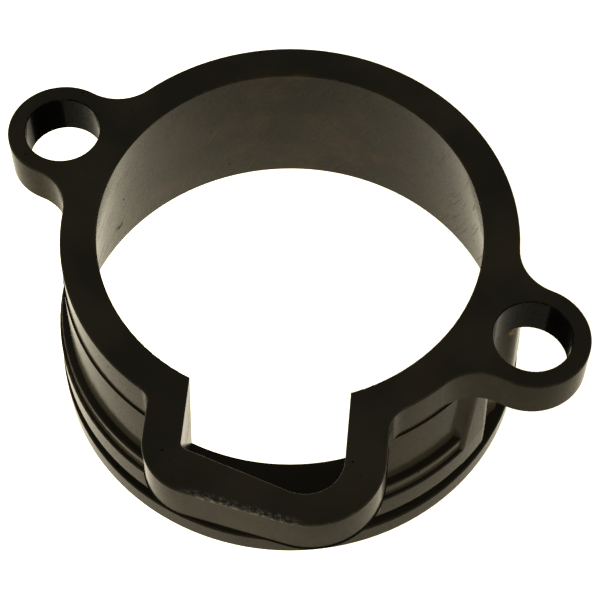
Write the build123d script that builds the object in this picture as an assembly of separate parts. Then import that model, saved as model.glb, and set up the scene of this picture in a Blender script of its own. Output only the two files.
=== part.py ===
from build123d import *
import os

# Driving dimensions, millimetres and degrees. Z is the bore axis, z = 0 is the seating face.
HEIGHT = 35.6
PLATE_THICKNESS = 7.6
BORE_TOP_R = 30.0
BORE_FOOT_R = 36.5
RIM_R = 35.75
EAR_PITCH = 82.5
EAR_R = 8.8
EAR_HOLE_R = 6.0
EAR_BLEND_R = 7.5
EDGE_R = 0.4
HOLE_EDGE_R = 0.3
STEP_EDGE_R = 0.3
HORN_EDGE_R = 3.0

# The lobe and its pocket, in a frame turned to LOBE_ANGLE: "across" runs sideways, "along" outwards.
LOBE_ANGLE = 22.5
LOBE_LEFT = -18.2
LOBE_RIGHT = 17.7
LOBE_FRONT = 48.65
LOBE_SKEW = 0.214
LOBE_LEFT_R = 8.6
LOBE_RIGHT_R = 11.2
LOBE_BLEND_LEFT_R = 2.6
LOBE_BLEND_RIGHT_R = 4.5
POCKET_LEFT = -12.4
POCKET_RIGHT = 11.6
POCKET_FRONT = 43.2
POCKET_SKEW = 0.343
POCKET_LEFT_R = 1.2
POCKET_RIGHT_R = 5.8
POCKET_FLOOR_Z = 20.0
LOBE_FOOT_LEFT = -18.2
LOBE_FOOT_RIGHT = 17.2
LOBE_FOOT_R = 38.05
SEAM_STEP = 0.2

# The barrel's outer steps, and the foot that presses into the base ring.
WEB_TOP_R = 36.05
WEB_FOOT_R = 36.3
LIP_R = 37.5
LIP_TOP_Z = 15.2
LAND_R = 38.1
LAND_TOP_Z = 12.1
LAND_FOOT_Z = 6.8
GROOVE_R = 36.9
BARREL_FOOT_Z = 2.0
GASKET_THICKNESS = 0.3
GASKET_INSET = 0.95
SPIGOT_R = 33.3
SPIGOT_HEIGHT = 3.0
FIT_GAP = 0.05
BASE_R = 38.4
BASE_HEIGHT = 4.0

# The bosses under the ears, and the scallops the ear holes leave in them.
BOSS_HALF_ANGLE = 17.2
BOSS_CORE_R = 32.0
RIDGE_TOP_R = 37.7
RIDGE_TOP_ANGLE = 13.2
RIDGE_TOP_ROUND = 2.5
RIDGE_FOOT_ANGLE = 16.7
RIDGE_FOOT_ROUND = 0.8
SCALLOP_TOP_R = 6.0
SCALLOP_FOOT_R = 5.1

PLATE_FOOT_Z = HEIGHT - PLATE_THICKNESS
GASKET_FOOT_Z = PLATE_FOOT_Z - GASKET_THICKNESS
SPIGOT_TOP_Z = PLATE_FOOT_Z + SPIGOT_HEIGHT


def bore_radius(z):
    """Radius of the tapered bore at height z."""
    return BORE_FOOT_R + (BORE_TOP_R - BORE_FOOT_R) * z / HEIGHT


def ring(points, rounded=(), radius=0.0):
    """Solid of revolution about Z from (radius, z) points, with the listed corners rounded."""
    face = make_face(Polyline([(r, 0, z) for r, z in points], close=True))
    if rounded:
        corners = [face.vertices().sort_by_distance((points[i][0], 0, points[i][1]))[0] for i in rounded]
        face = face.face().fillet_2d(radius, corners)
    return revolve(face, Axis.Z, 360)


def raised(outline, height):
    """Prism standing on the XY plane."""
    return extrude(outline, height, dir=(0, 0, 1))


def bore_cutter():
    """Tapered bore, run on past both end faces."""
    low = -5.0
    high = HEIGHT + 5.0
    return ring([(0, low), (bore_radius(low), low), (bore_radius(high), high), (0, high)])


def turned(shape):
    """Turn a lobe-frame shape to its place round the bore."""
    return Rot(0, 0, LOBE_ANGLE) * shape


def skewed_panel(left, right, front, skew, left_r, right_r, back):
    """Four-sided outline with its two outer corners rounded."""
    outline = Polygon(
        (left, -back),
        (left, -(front + skew * left)),
        (right, -(front + skew * right)),
        (right, -back),
        align=None,
    )
    corners = outline.vertices().sort_by(Axis.Y)
    outer = corners[:2].sort_by(Axis.X)
    outline = fillet(outer[0], left_r)
    far = outline.vertices().sort_by_distance((right, -(front + skew * right)))[0]
    return fillet(far, right_r)


def lobe_outline(inset=0.0):
    """Outside of the lobe at the top plate."""
    return skewed_panel(
        LOBE_LEFT + inset,
        LOBE_RIGHT - inset,
        LOBE_FRONT - inset,
        LOBE_SKEW,
        LOBE_LEFT_R - inset,
        LOBE_RIGHT_R - inset,
        12.0,
    )


def pocket_outline():
    """Inside of the pocket at the top plate."""
    return skewed_panel(
        POCKET_LEFT,
        POCKET_RIGHT,
        POCKET_FRONT,
        POCKET_SKEW,
        POCKET_LEFT_R,
        POCKET_RIGHT_R,
        12.0,
    )


def pocket_floor_outline():
    """Inside of the pocket at its floor, drawn in from the front."""
    return skewed_panel(POCKET_LEFT, POCKET_RIGHT, 39.0, 0.12, POCKET_LEFT_R, POCKET_RIGHT_R, 12.0)


def lobe_foot_outline():
    """Outside of the lobe where it dies into the barrel's lower land."""
    stations = (LOBE_FOOT_LEFT, -11.4, 4.0, LOBE_FOOT_RIGHT)
    points = [(x, -((LOBE_FOOT_R ** 2 - x ** 2) ** 0.5)) for x in stations]
    edges = [Line((LOBE_FOOT_LEFT, -12.0), points[0])]
    for start, end in zip(points[:-1], points[1:]):
        edges.append(RadiusArc(start, end, LOBE_FOOT_R))
    edges.append(Line(points[-1], (LOBE_FOOT_RIGHT, -12.0)))
    edges.append(Line((LOBE_FOOT_RIGHT, -12.0), (LOBE_FOOT_LEFT, -12.0)))
    return make_face(Curve() + edges)


def plate_outline():
    """Ring, two ears and lobe in one outline, with blended corners."""
    outline = Circle(RIM_R)
    for x in (-EAR_PITCH / 2, EAR_PITCH / 2):
        outline += Pos(x, 0) * Circle(EAR_R)
    notches = [v for v in outline.vertices() if abs(abs(v.Y) - 6.35) < 0.6]
    outline = fillet(notches, EAR_BLEND_R)
    outline += turned(lobe_outline())
    return outline


def lobe_corner(shape, side):
    """Vertex where the lobe's side meets the ring: side is -1 for left, 1 for right."""
    across = LOBE_LEFT if side < 0 else LOBE_RIGHT
    along = (RIM_R ** 2 - across ** 2) ** 0.5
    target = Vector(across, -along, 0).rotate(Axis.Z, LOBE_ANGLE)
    return shape.vertices().sort_by_distance(target)[0]


def softened(solid, edges, radius):
    """The solid with those edges rounded."""
    return solid.fillet(radius, edges)


def make_top_plate():
    """Flat ring with two bolt ears and the lobe's rim."""
    outline = plate_outline()
    outline = fillet(lobe_corner(outline, -1), LOBE_BLEND_LEFT_R)
    outline = fillet(lobe_corner(outline, 1), LOBE_BLEND_RIGHT_R)
    plate = Pos(0, 0, PLATE_FOOT_Z) * raised(outline, PLATE_THICKNESS)
    plate = softened(plate, plate.edges().group_by(Axis.Z)[-1], EDGE_R)
    plate -= bore_cutter()
    register = Cylinder(
        SPIGOT_R + FIT_GAP,
        SPIGOT_HEIGHT,
        align=(Align.CENTER, Align.CENTER, Align.MIN),
    )
    plate -= Pos(0, 0, PLATE_FOOT_Z) * register
    for x in (-EAR_PITCH / 2, EAR_PITCH / 2):
        plate -= Pos(x, 0, PLATE_FOOT_Z + PLATE_THICKNESS / 2) * Cylinder(EAR_HOLE_R, PLATE_THICKNESS + 2)
    plate -= turned(Pos(0, 0, PLATE_FOOT_Z - 1) * raised(pocket_outline(), PLATE_THICKNESS + 2))
    top = plate.faces().sort_by(Axis.Z)[-1]
    inner = [e for wire in top.inner_wires() for e in wire.edges()]
    return softened(plate, inner, HOLE_EDGE_R)


def gasket_outline():
    """Gasket drawn in from the rim all round, open at the bore and at the pocket."""
    outline = Circle(RIM_R - GASKET_INSET) + turned(lobe_outline(GASKET_INSET))
    outline -= Circle(SPIGOT_R + FIT_GAP)
    return outline - turned(pocket_outline())


def make_plate_gasket():
    """Thin gasket between the top plate and the barrel."""
    return Pos(0, 0, GASKET_FOOT_Z) * raised(gasket_outline(), GASKET_THICKNESS)


def polar(radius, degrees):
    """Point at a radius and an angle from +X."""
    point = Vector(radius, 0, 0).rotate(Axis.Z, degrees)
    return (point.X, point.Y)


def boss_outline(web_r, ridge_r, ridge_angle, ridge_round):
    """Cross-section of the right-hand boss, with its two ridges rounded."""
    low_ridge = polar(ridge_r, -ridge_angle)
    high_ridge = polar(ridge_r, ridge_angle)
    inner = [polar(BOSS_CORE_R, BOSS_HALF_ANGLE), polar(BOSS_CORE_R, -BOSS_HALF_ANGLE)]
    edges = [
        Line(inner[1], polar(web_r, -BOSS_HALF_ANGLE)),
        Line(polar(web_r, -BOSS_HALF_ANGLE), low_ridge),
        ThreePointArc(low_ridge, (ridge_r, 0), high_ridge),
        Line(high_ridge, polar(web_r, BOSS_HALF_ANGLE)),
        Line(polar(web_r, BOSS_HALF_ANGLE), inner[0]),
        Line(inner[0], inner[1]),
    ]
    outline = Sketch() + make_face(Curve() + edges)
    for ridge in (low_ridge, high_ridge):
        outline = fillet(outline.vertices().sort_by_distance(ridge)[0], ridge_round)
    return outline


def boss_blocks():
    """Two bosses that carry the ears, from the lower land up to the plate."""
    upper = boss_outline(WEB_TOP_R, RIDGE_TOP_R, RIDGE_TOP_ANGLE, RIDGE_TOP_ROUND)
    lower = boss_outline(WEB_FOOT_R, LAND_R, RIDGE_FOOT_ANGLE, RIDGE_FOOT_ROUND)
    block = loft([Pos(0, 0, PLATE_FOOT_Z) * upper, Pos(0, 0, LAND_TOP_Z) * lower], ruled=True)
    block += Pos(0, 0, LAND_FOOT_Z) * raised(lower, LAND_TOP_Z - LAND_FOOT_Z)
    return block + Rot(0, 0, 180) * block


def scallop_cutter():
    """Tapered run-out of one ear hole, down to the base ring."""
    length = PLATE_FOOT_Z - BASE_HEIGHT
    return Pos(0, 0, BASE_HEIGHT) * Cone(
        SCALLOP_FOOT_R,
        SCALLOP_TOP_R,
        length,
        align=(Align.CENTER, Align.CENTER, Align.MIN),
    )


def lobe_block():
    """Lobe body below the plate, narrowing to the barrel's lower land."""
    upper = Pos(0, 0, GASKET_FOOT_Z) * lobe_outline(-SEAM_STEP)
    lower = Pos(0, 0, LAND_FOOT_Z) * lobe_foot_outline()
    return turned(loft([upper, lower], ruled=True))


def pocket_block():
    """Space inside the lobe below the plate, narrowing to the pocket floor."""
    upper = Pos(0, 0, GASKET_FOOT_Z) * pocket_outline()
    lower = Pos(0, 0, POCKET_FLOOR_Z) * pocket_floor_outline()
    block = loft([upper, lower], ruled=True)
    clear = Pos(0, 0, GASKET_FOOT_Z) * raised(pocket_outline(), SPIGOT_HEIGHT + 2)
    return turned(block + clear)


def barrel():
    """Stepped barrel, solid inside, with the foot that enters the base ring."""
    profile = [
        (0, SPIGOT_TOP_Z),
        (SPIGOT_R, SPIGOT_TOP_Z),
        (SPIGOT_R, GASKET_FOOT_Z),
        (WEB_TOP_R, GASKET_FOOT_Z),
        (WEB_FOOT_R, LIP_TOP_Z),
        (LIP_R, LIP_TOP_Z),
        (LIP_R, LAND_TOP_Z),
        (LAND_R, LAND_TOP_Z),
        (LAND_R, LAND_FOOT_Z),
        (GROOVE_R, LAND_FOOT_Z),
        (GROOVE_R, BARREL_FOOT_Z),
        (0, BARREL_FOOT_Z),
    ]
    return ring(profile, (5, 7, 8), STEP_EDGE_R)


def scallop_edges(body):
    """Upright edges where the scallops run out through the bosses and the land."""
    found = []
    for edge in body.edges():
        box = edge.bounding_box()
        middle = edge.center()
        upright = box.max.Z - box.min.Z > 4
        outside = (middle.X ** 2 + middle.Y ** 2) ** 0.5 > WEB_FOOT_R + 0.6
        beside = 2.8 < abs(middle.Y) < 5.5 and abs(middle.X) > 34
        if upright and outside and beside:
            found.append(edge)
    return found


def make_body():
    """Tapered barrel with its steps, lobe, pocket and ear bosses."""
    body = barrel() + boss_blocks()
    for x in (-EAR_PITCH / 2, EAR_PITCH / 2):
        body -= Pos(x, 0) * scallop_cutter()
    body = softened(body, scallop_edges(body), HORN_EDGE_R)
    body += lobe_block()
    body -= bore_cutter()
    body -= Pos(0, 0, GASKET_FOOT_Z) * raised(gasket_outline(), GASKET_THICKNESS + 0.001)
    body -= pocket_block()
    return body


def make_base_ring():
    """Foot flange, counterbored for the barrel's foot."""
    profile = [
        (bore_radius(BARREL_FOOT_Z), BARREL_FOOT_Z),
        (GROOVE_R, BARREL_FOOT_Z),
        (GROOVE_R, BASE_HEIGHT),
        (BASE_R, BASE_HEIGHT),
        (BASE_R, 0),
        (bore_radius(0), 0),
    ]
    return ring(profile, (3,), STEP_EDGE_R)


if __name__ == "__main__":
    os.makedirs("parts", exist_ok=True)
    parts = {
        "top_plate": make_top_plate(),
        "plate_gasket": make_plate_gasket(),
        "body": make_body(),
        "base_ring": make_base_ring(),
    }
    for name, shape in parts.items():
        export_step(shape.solids()[0], os.path.join("parts", name + ".step"))
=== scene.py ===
import math

import bpy
from mathutils import Matrix, Vector


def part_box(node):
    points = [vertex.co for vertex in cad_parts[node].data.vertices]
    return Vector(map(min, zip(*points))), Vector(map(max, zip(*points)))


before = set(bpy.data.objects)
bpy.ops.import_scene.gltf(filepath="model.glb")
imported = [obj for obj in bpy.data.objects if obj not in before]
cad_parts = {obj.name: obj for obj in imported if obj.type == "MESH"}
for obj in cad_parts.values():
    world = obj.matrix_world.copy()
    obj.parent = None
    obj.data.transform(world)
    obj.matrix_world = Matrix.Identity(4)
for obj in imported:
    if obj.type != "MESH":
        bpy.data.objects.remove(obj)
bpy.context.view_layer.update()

# Places worked out from the frame, in metres.
plate_low, plate_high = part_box("top_plate")
TOP_Z = plate_high.z
PLATE_FOOT_Z = plate_low.z
FOOT_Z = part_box("base_ring")[0].z
BORE_TOP_R = 0.030

# Camera: where it stands, which way it looks, and its lens.
CAMERA_DISTANCE = 9.9387 * BORE_TOP_R
CAMERA_TURN = math.radians(27.92)
CAMERA_ELEVATION = 0.9891
CAMERA_YAW = 0.005
CAMERA_PITCH = -0.0383
CAMERA_ROLL = 0.0039
SENSOR_MM = 36.0
LENS_MM = 115.18
SHIFT_X = 0.0326
SHIFT_Y = 0.0046

# Floor and world. Over full white, so that both show as white but light and tint the gloss.
WARM_WHITE = (1.45, 1.32, 1.00, 1.0)
FLOOR_LEFT = 1.6
FLOOR_RIGHT = 1.02
FLOOR_SPREAD = 0.045
FLOOR_HALF = 3.0
FLOOR_DROP = 0.0002
WORLD_OVERHEAD = (0.36, 0.36, 0.35, 1.0)
WORLD_LOW = 0.05
WORLD_HIGH = 0.55


def add_camera():
    """Camera at the photograph's viewing angle."""
    data = bpy.data.cameras.new("camera")
    data.sensor_width = SENSOR_MM
    data.lens = LENS_MM
    data.shift_x = SHIFT_X
    data.shift_y = SHIFT_Y
    data.clip_start = 0.01
    data.clip_end = 20.0
    camera = bpy.data.objects.new("camera", data)
    bpy.context.scene.collection.objects.link(camera)
    e = CAMERA_ELEVATION
    place = CAMERA_DISTANCE * Vector((0, -math.cos(e), math.sin(e)))
    ahead = -place.normalized()
    right = Vector((1, 0, 0))
    up = right.cross(ahead)
    yaw = Matrix.Rotation(CAMERA_YAW, 3, up)
    ahead, right = yaw @ ahead, yaw @ right
    pitch = Matrix.Rotation(CAMERA_PITCH, 3, right)
    ahead, up = pitch @ ahead, pitch @ up
    roll = Matrix.Rotation(CAMERA_ROLL, 3, ahead)
    right, up = roll @ right, roll @ up
    turn = Matrix.Rotation(CAMERA_TURN, 4, "Z")
    facing = Matrix((right, up, -ahead)).transposed().to_4x4()
    facing.translation = place
    camera.matrix_world = Matrix.Translation((0, 0, TOP_Z)) @ turn @ facing
    bpy.context.scene.camera = camera


class Nodes:
    """Short way to write a material's node tree."""

    def __init__(self, name):
        self.material = bpy.data.materials.new(name)
        self.material.use_nodes = True
        self.tree = self.material.node_tree
        self.tree.nodes.clear()

    def add(self, kind, inputs=None, **settings):
        node = self.tree.nodes.new(kind)
        for key, value in settings.items():
            setattr(node, key, value)
        for key, value in (inputs or {}).items():
            if isinstance(value, bpy.types.NodeSocket):
                self.tree.links.new(value, node.inputs[key])
            else:
                node.inputs[key].default_value = value
        return node

    def math(self, operation, a, b=0.0, clamp=False):
        node = self.add("ShaderNodeMath", {0: a, 1: b}, operation=operation, use_clamp=clamp)
        return node.outputs[0]

    def ramp(self, value, low, high, to_low=0.0, to_high=1.0):
        node = self.add(
            "ShaderNodeMapRange",
            {"Value": value, "From Min": low, "From Max": high, "To Min": to_low, "To Max": to_high},
            interpolation_type="SMOOTHSTEP",
        )
        return node.outputs["Result"]

    def noise(self, position, scale, detail=4.0, roughness=0.55):
        node = self.add(
            "ShaderNodeTexNoise",
            {"Vector": position, "Scale": scale, "Detail": detail, "Roughness": roughness},
        )
        return node.outputs["Fac"]

    def mix(self, factor, a, b):
        node = self.add("ShaderNodeMix", {0: factor, 6: a, 7: b}, data_type="RGBA")
        return node.outputs[2]


BLACK = (0.0185, 0.0168, 0.0118, 1.0)
OLIVE = (0.0290, 0.0258, 0.0180, 1.0)
WORN = (0.14, 0.135, 0.118, 1.0)
BROWN = (0.060, 0.032, 0.015, 1.0)
RUST = (0.150, 0.085, 0.035, 1.0)
SCAR = (0.035, 0.018, 0.008, 1.0)
# Near-black: the colour of the pits, and also painted shade on the ear-hole walls.
PIT_AND_SHADE_BLACK = (0.003, 0.003, 0.0025, 1.0)
RUBBER_DARK = (0.004, 0.004, 0.004, 1.0)
RUBBER_LIGHT = (0.009, 0.008, 0.007, 1.0)

# Low, so that the sides stay dark beside the white floor. Real plastic is about 1.5.
PLASTIC_IOR = 1.07

# Places of the marks and of the painted shade in the ear holes, in metres.
EAR_X = 0.04125
EAR_HOLE_R = 0.006
BORE_FOOT_R = 0.0365
BORE_TAPER = 0.1826
LOBE_FRONT = 0.04865
LOBE_NORMAL = (0.1850, -1.0058, 0.0)
LOBE_ACROSS = (0.9239, 0.3827, 0.0)
CRACK = (-0.0350, 0.0031, 0.0075)
HOLE_STAIN = (0.0370, 0.0043, 0.0270)
GROOVE_LOW = 0.0040
GROOVE_HIGH = 0.0068


class Surface:
    """Position on the part, read once, with the distances that the marks and the painted hole shade need.
    """

    def __init__(self, n):
        self.n = n
        self.place = n.add("ShaderNodeNewGeometry").outputs["Position"]
        split = n.add("ShaderNodeSeparateXYZ", {0: self.place})
        self.x, self.y, self.z = split.outputs
        self.radius = self.length(self.x, self.y)

    def length(self, a, b):
        squares = self.n.math("ADD", self.n.math("MULTIPLY", a, a), self.n.math("MULTIPLY", b, b))
        return self.n.math("SQRT", squares)

    def along(self, direction):
        node = self.n.add("ShaderNodeVectorMath", {0: self.place, 1: direction}, operation="DOT_PRODUCT")
        return node.outputs["Value"]

    def near(self, point, reach):
        node = self.n.add("ShaderNodeVectorMath", {0: self.place, 1: point}, operation="DISTANCE")
        return self.n.ramp(node.outputs["Value"], reach * 0.4, reach, 1.0, 0.0)

    def bore(self):
        """1 on the bore wall, 0 elsewhere."""
        outwards = self.n.math("ADD", self.radius, self.n.math("MULTIPLY", self.z, BORE_TAPER))
        return self.n.ramp(outwards, BORE_FOOT_R + 0.0002, BORE_FOOT_R + 0.0005, 1.0, 0.0)

    def streaks(self):
        """Faint slanted marks round the bore."""
        n = self.n
        angle = n.math("ARCTAN2", self.y, self.x)
        slant = n.math("ADD", n.math("MULTIPLY", angle, 0.033), n.math("MULTIPLY", self.z, 0.45))
        drawn = n.add(
            "ShaderNodeCombineXYZ",
            {0: n.math("MULTIPLY", slant, 1500.0), 1: n.math("MULTIPLY", self.z, 90.0)},
        )
        return n.noise(drawn.outputs[0], 1.0, 4.0, 0.6)

    def ear_hole_wall_shade(self):
        """1 on the walls of the ear holes, where the colour is painted near-black as shade."""
        n = self.n
        beside = n.math("SUBTRACT", n.math("ABSOLUTE", self.x), EAR_X)
        wall = n.ramp(self.length(beside, self.y), EAR_HOLE_R + 0.00003, EAR_HOLE_R + 0.00025, 1.0, 0.0)
        return n.math("MULTIPLY", wall, n.ramp(self.z, PLATE_FOOT_Z - 0.0001, PLATE_FOOT_Z))

    def groove(self):
        """1 at the groove's height, 0 above and below."""
        low = self.n.ramp(self.z, GROOVE_LOW, GROOVE_LOW + 0.0002)
        high = self.n.ramp(self.z, GROOVE_HIGH, GROOVE_HIGH + 0.0002, 1.0, 0.0)
        return self.n.math("MULTIPLY", low, high)

    def lobe_wear(self):
        """Ragged worn patch along the front edge of the lobe."""
        n = self.n
        inwards = n.math("SUBTRACT", self.along(LOBE_NORMAL), LOBE_FRONT)
        edge = n.ramp(inwards, -0.0013, -0.0003)
        across = self.along(LOBE_ACROSS)
        middle = n.math("MULTIPLY", n.ramp(across, -0.013, -0.007), n.ramp(across, 0.003, 0.008, 1.0, 0.0))
        high = n.ramp(self.z, TOP_Z - 0.0009, TOP_Z - 0.0003)
        ragged = n.ramp(n.noise(self.place, 1500.0, 6.0, 0.75), 0.44, 0.66)
        patch = n.math("MULTIPLY", n.math("MULTIPLY", edge, middle), high)
        return n.math("MULTIPLY", patch, ragged)

    def rim_wear(self):
        """Nicks along the outer top edges."""
        n = self.n
        height = n.ramp(self.z, TOP_Z - 0.00045, TOP_Z - 0.0001)
        below = n.ramp(self.z, TOP_Z - 0.00008, TOP_Z - 0.00001, 1.0, 0.0)
        nicks = n.ramp(n.noise(self.place, 900.0, 5.0, 0.7), 0.48, 0.70)
        return n.math("MULTIPLY", n.math("MULTIPLY", height, below), nicks)


class Marks:
    """Masks of the marks on the plastic and of the painted shade in the ear holes, each 0 to 1, worked out
    once.
    """

    def __init__(self, n, at):
        self.broad = n.noise(at.place, 60.0, 3.0)
        self.fine = n.noise(at.place, 1400.0, 4.0, 0.6)
        self.bore = at.bore()
        stain = n.ramp(n.noise(at.place, 110.0, 6.0, 0.70), 0.50, 0.70)
        reach = n.math("ADD", n.math("MULTIPLY", self.bore, 0.30), 0.12)
        self.stain = n.math("MULTIPLY", stain, reach)
        self.streaks = n.math("MULTIPLY", n.ramp(at.streaks(), 0.52, 0.66), self.bore)
        self.pits = n.ramp(n.noise(at.place, 1100.0, 2.0, 0.5), 0.72, 0.77)
        ragged = n.ramp(self.fine, 0.42, 0.55)
        self.crack = n.math("MULTIPLY", at.near(CRACK, 0.0016), ragged)
        self.spot = n.math("MULTIPLY", at.near(HOLE_STAIN, 0.0012), ragged)
        self.groove = n.math("MULTIPLY", at.groove(), n.math("SUBTRACT", 1.0, self.bore))
        # Painted shade: mask of the ear-hole walls, which the colour makes near-black.
        self.hole_painted_shade = at.ear_hole_wall_shade()
        self.worn = n.math("MAXIMUM", at.lobe_wear(), n.math("MULTIPLY", at.rim_wear(), 0.15))


def plastic_colour(n, marks):
    """Mottled black, with each mark, and the painted shade on the ear-hole walls, laid over it in turn."""
    colour = n.mix(n.ramp(marks.broad, 0.35, 0.70), BLACK, OLIVE)
    colour = n.mix(marks.stain, colour, BROWN)
    colour = n.mix(n.math("MULTIPLY", marks.streaks, 0.22), colour, BROWN)
    colour = n.mix(marks.pits, colour, PIT_AND_SHADE_BLACK)
    colour = n.mix(marks.spot, colour, RUST)
    colour = n.mix(marks.crack, colour, SCAR)
    colour = n.mix(n.math("MULTIPLY", marks.groove, 0.25), colour, BROWN)
    # Painted shade: the ear-hole walls are darkened to near-black.
    colour = n.mix(marks.hole_painted_shade, colour, PIT_AND_SHADE_BLACK)
    return n.mix(marks.worn, colour, WORN)


def plastic_roughness(n, marks):
    """Smooth, a little rougher where worn or streaked."""
    smooth = n.ramp(marks.broad, 0.3, 0.7, 0.12, 0.20)
    return n.math("ADD", smooth, n.math("MULTIPLY", n.math("MAXIMUM", marks.worn, marks.streaks), 0.15))


def plastic_gloss(n, at, marks):
    """Grainy gloss, gone in the crack and the pits."""
    grain = n.ramp(n.noise(at.place, 1900.0, 5.0, 0.7), 0.35, 0.65, 0.34, 0.58)
    return n.math("MULTIPLY", grain, n.math("SUBTRACT", 1.0, n.math("MAXIMUM", marks.crack, marks.pits)))


def moulded_black(name):
    """Black moulded plastic with an olive cast, stains, small pits, a worn rim and painted shade on the
    ear-hole walls.
    """
    n = Nodes(name)
    at = Surface(n)
    marks = Marks(n, at)
    relief = n.math("SUBTRACT", marks.fine, n.math("MULTIPLY", marks.pits, 1.5))
    bump = n.add("ShaderNodeBump", {"Strength": 0.06, "Distance": 0.00008, "Height": relief})
    shader = n.add(
        "ShaderNodeBsdfPrincipled",
        {
            "Base Color": plastic_colour(n, marks),
            "Roughness": plastic_roughness(n, marks),
            "Specular IOR Level": plastic_gloss(n, at, marks),
            "Normal": bump.outputs[0],
            "IOR": PLASTIC_IOR,
        },
    )
    n.add("ShaderNodeOutputMaterial", {"Surface": shader.outputs[0]})
    return n.material


def gasket_rubber():
    """Matt black rubber with a faint grain."""
    n = Nodes("gasket_rubber")
    place = n.add("ShaderNodeNewGeometry").outputs["Position"]
    grain = n.noise(place, 1500.0, 4.0)
    colour = n.mix(n.ramp(grain, 0.3, 0.7), RUBBER_DARK, RUBBER_LIGHT)
    bump = n.add("ShaderNodeBump", {"Strength": 0.2, "Distance": 0.00005, "Height": grain})
    shader = n.add(
        "ShaderNodeBsdfPrincipled",
        {"Base Color": colour, "Roughness": 0.85, "Normal": bump.outputs[0]},
    )
    n.add("ShaderNodeOutputMaterial", {"Surface": shader.outputs[0]})
    return n.material


def paint(node, material):
    """Give every slot of a CAD node one material."""
    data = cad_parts[node].data
    if not data.materials:
        data.materials.append(material)
    for index in range(len(data.materials)):
        data.materials[index] = material


def add_floor():
    """Plain white floor, a little brighter on the lit side."""
    half = FLOOR_HALF
    mesh = bpy.data.meshes.new("floor")
    corners = [(-half, -half, 0), (half, -half, 0), (half, half, 0), (-half, half, 0)]
    mesh.from_pydata(corners, [], [(0, 1, 2, 3)])
    floor = bpy.data.objects.new("floor", mesh)
    floor.location = (0, 0, FOOT_Z - FLOOR_DROP)
    bpy.context.scene.collection.objects.link(floor)
    n = Nodes("floor_white")
    place = n.add("ShaderNodeNewGeometry").outputs["Position"]
    leftwards = (-math.cos(CAMERA_TURN), -math.sin(CAMERA_TURN), 0.0)
    aside = n.add("ShaderNodeVectorMath", {0: place, 1: leftwards}, operation="DOT_PRODUCT")
    strength = n.ramp(aside.outputs["Value"], -FLOOR_SPREAD, FLOOR_SPREAD, FLOOR_RIGHT, FLOOR_LEFT)
    shader = n.add("ShaderNodeEmission", {"Color": WARM_WHITE, "Strength": strength})
    n.add("ShaderNodeOutputMaterial", {"Surface": shader.outputs[0]})
    mesh.materials.append(n.material)


def light_world():
    """Soft studio surround: white from low down, grey overhead."""
    world = bpy.data.worlds.new("studio")
    bpy.context.scene.world = world
    world.use_nodes = True
    tree = world.node_tree
    tree.nodes.clear()
    coordinates = tree.nodes.new("ShaderNodeTexCoord")
    split = tree.nodes.new("ShaderNodeSeparateXYZ")
    tree.links.new(coordinates.outputs["Generated"], split.inputs[0])
    ramp = tree.nodes.new("ShaderNodeValToRGB")
    tree.links.new(split.outputs["Z"], ramp.inputs[0])
    stops = ramp.color_ramp
    stops.elements[0].position = WORLD_LOW
    stops.elements[0].color = WARM_WHITE
    stops.elements[1].position = WORLD_HIGH
    stops.elements[1].color = WORLD_OVERHEAD
    background = tree.nodes.new("ShaderNodeBackground")
    tree.links.new(ramp.outputs[0], background.inputs["Color"])
    background.inputs["Strength"].default_value = 1.0
    output = tree.nodes.new("ShaderNodeOutputWorld")
    tree.links.new(background.outputs[0], output.inputs[0])


paint("top_plate", moulded_black("plate_black"))
paint("body", moulded_black("body_black"))
paint("base_ring", moulded_black("base_black"))
paint("plate_gasket", gasket_rubber())
add_floor()
light_world()
add_camera()
bpy.context.scene.view_settings.view_transform = "Standard"
